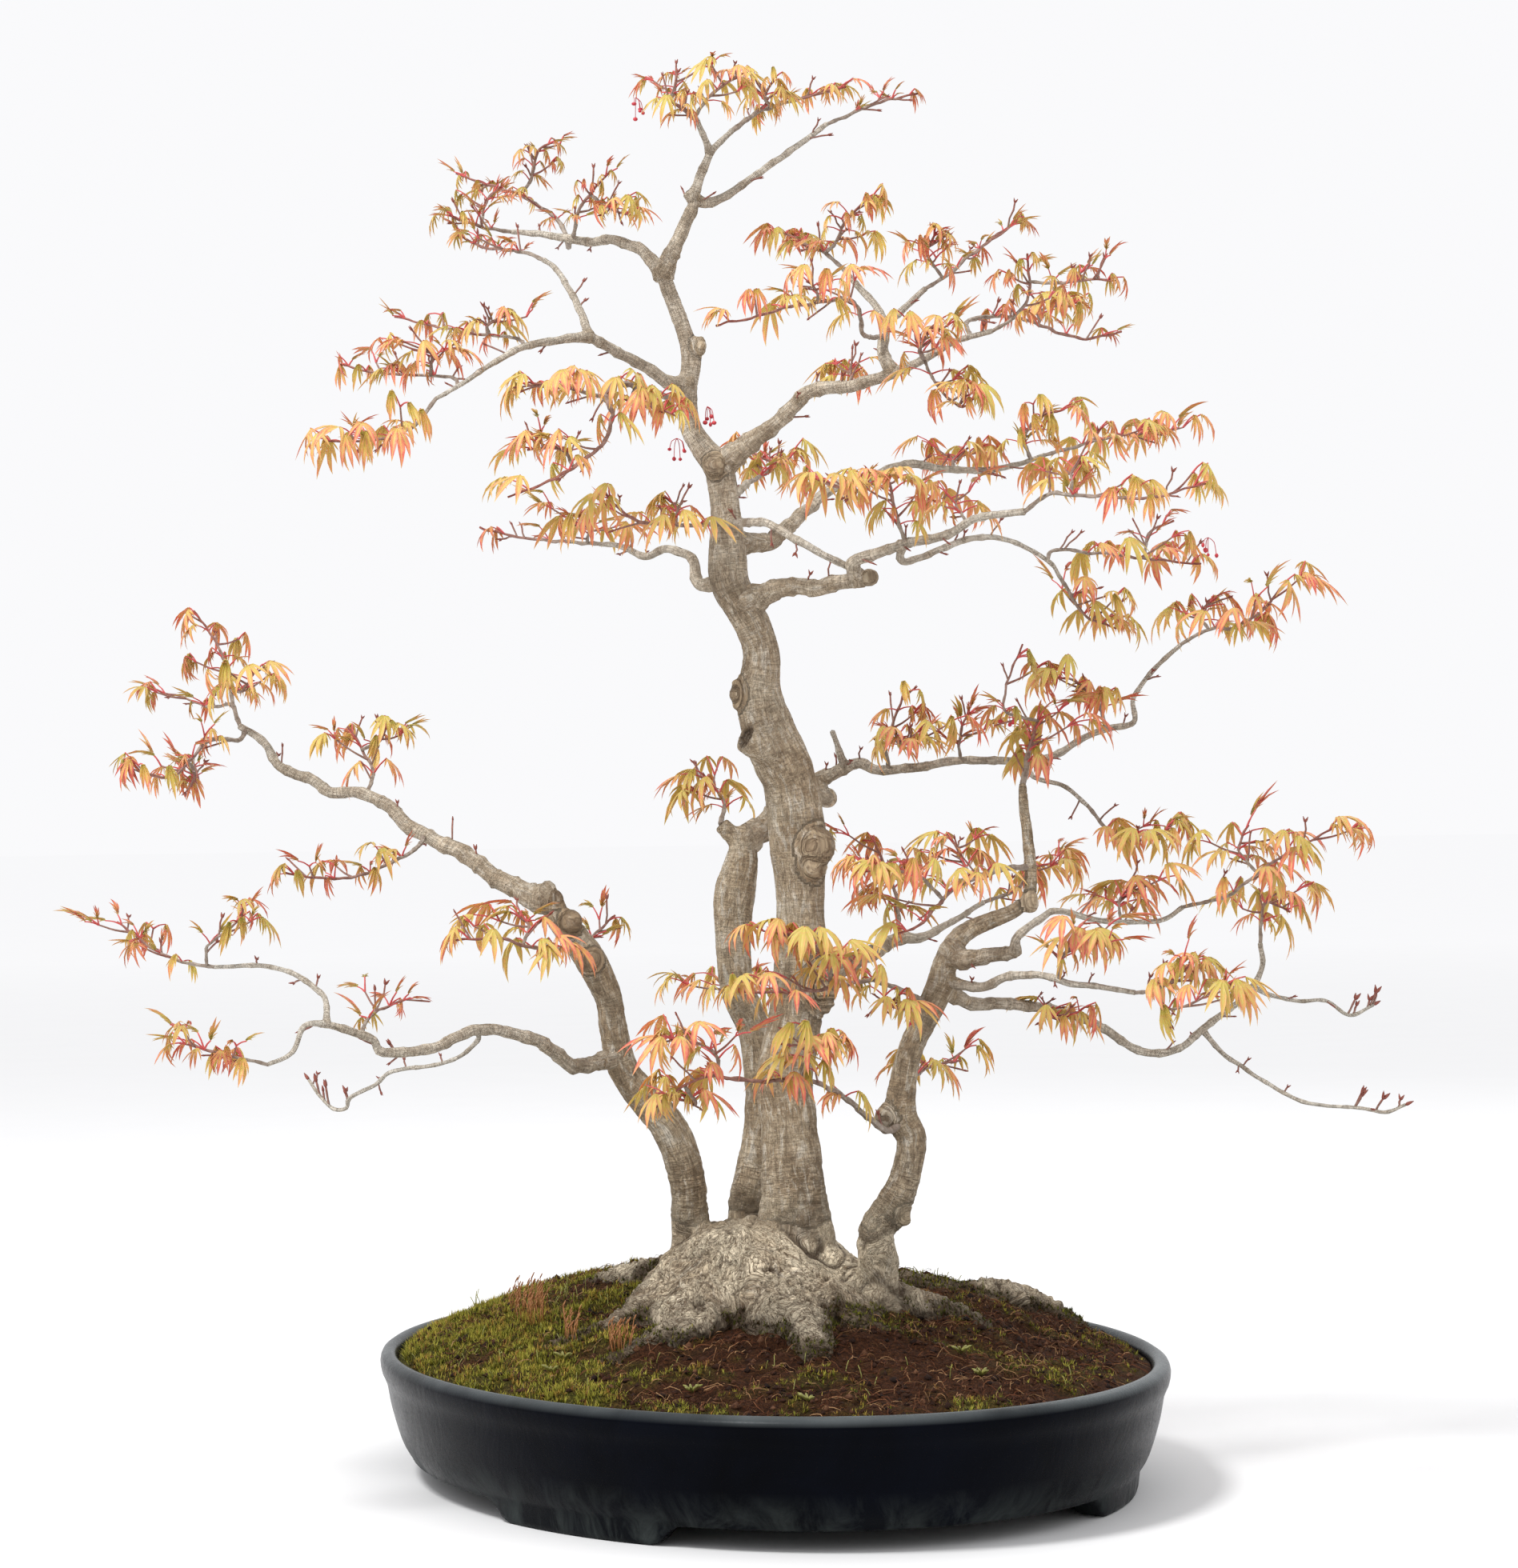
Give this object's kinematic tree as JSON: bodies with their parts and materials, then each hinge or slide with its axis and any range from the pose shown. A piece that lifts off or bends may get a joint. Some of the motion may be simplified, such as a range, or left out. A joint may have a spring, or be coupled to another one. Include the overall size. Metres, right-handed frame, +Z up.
{
  "type": "japanese maple bonsai",
  "caption": "Multi-trunk maple bonsai with a broad root base and drooping palmate spring leaves, planted in a mound of soil in a low oval glazed pot on short feet.",
  "frame": {"origin": "on the surface the pot stands on, under the middle of the whole bonsai", "axes": "+Z up, -Y the front from which the tree is viewed, +X to the viewer's right"},
  "size_m": [0.7294, 0.5888, 0.81],
  "materials": {
    "glaze": "dark blue-black gloss glaze, worn paler at the rim",
    "soil": "rough dark granular soil with moss",
    "bark": "matt grey-tan bark",
    "leaf_open": "soft satin leaf, yellow-green to orange",
    "leaf_young": "soft satin young leaf, orange to crimson"
  },
  "bodies": {
    "root": {"pot": "glaze", "soil": "soil", "tree": "bark", "spray_crown_left": "leaf_open", "spray_crown_right": "leaf_open", "spray_apex": "leaf_young", "spray_top_left_rise": "leaf_young", "spray_top_left_tip": "leaf_young", "spray_top_left_inner": "leaf_young", "spray_upper_left_rise": "leaf_young", "spray_upper_left_side": "leaf_young", "spray_upper_left_tip": "leaf_open", "spray_upper_left_outer": "leaf_young", "spray_mid_left": "leaf_open", "spray_low_left_thin": "leaf_open", "spray_low_left_tip": "leaf_young", "spray_rise_left": "leaf_open", "spray_rise_right": "leaf_young", "spray_right_high_up": "leaf_young", "spray_right_high_end": "leaf_young", "spray_rise_front": "leaf_open", "spray_right_high_mid": "leaf_open", "spray_right_high_hang": "leaf_open", "spray_back_high": "leaf_open", "spray_back_low": "leaf_open", "spray_right_low_up": "leaf_open", "spray_right_mid_up": "leaf_open", "spray_right_low_mid": "leaf_open", "spray_right_mid_high": "leaf_open", "spray_right_mid_tip": "leaf_open", "spray_right_low_tip": "leaf_open", "spray_right_under_side": "leaf_open", "spray_back_right_tip": "leaf_open", "spray_right_under_tip": "leaf_open", "spray_back_shoot": "leaf_young", "spray_back_shoot_right": "leaf_young", "spray_right_top": "leaf_open", "spray_back_right_up": "leaf_open", "spray_back_left": "leaf_open", "spray_back_right_low": "leaf_open", "spray_right_arm_tip": "leaf_open", "spray_right_long_tip": "leaf_open", "spray_right_parallel_tip": "leaf_open", "spray_right_parallel_up": "leaf_open", "spray_right_arm_mid": "leaf_open", "spray_right_upper_left": "leaf_open", "spray_main_right_tip": "leaf_open", "spray_main_right_up": "leaf_open", "spray_right_mid_left": "leaf_open", "spray_right_inner_left": "leaf_open", "spray_right_inner_up": "leaf_open", "spray_right_long_hang": "leaf_open", "spray_left_arm_tip": "leaf_young", "spray_left_arm_arch": "leaf_young", "spray_left_arm_shoot": "leaf_open", "spray_left_arm_low": "leaf_young", "spray_left_low_arch": "leaf_young", "spray_left_low_tip": "leaf_young", "spray_left_low_twig": "leaf_young", "spray_left_front": "leaf_open"}
  },
  "joints": []
}
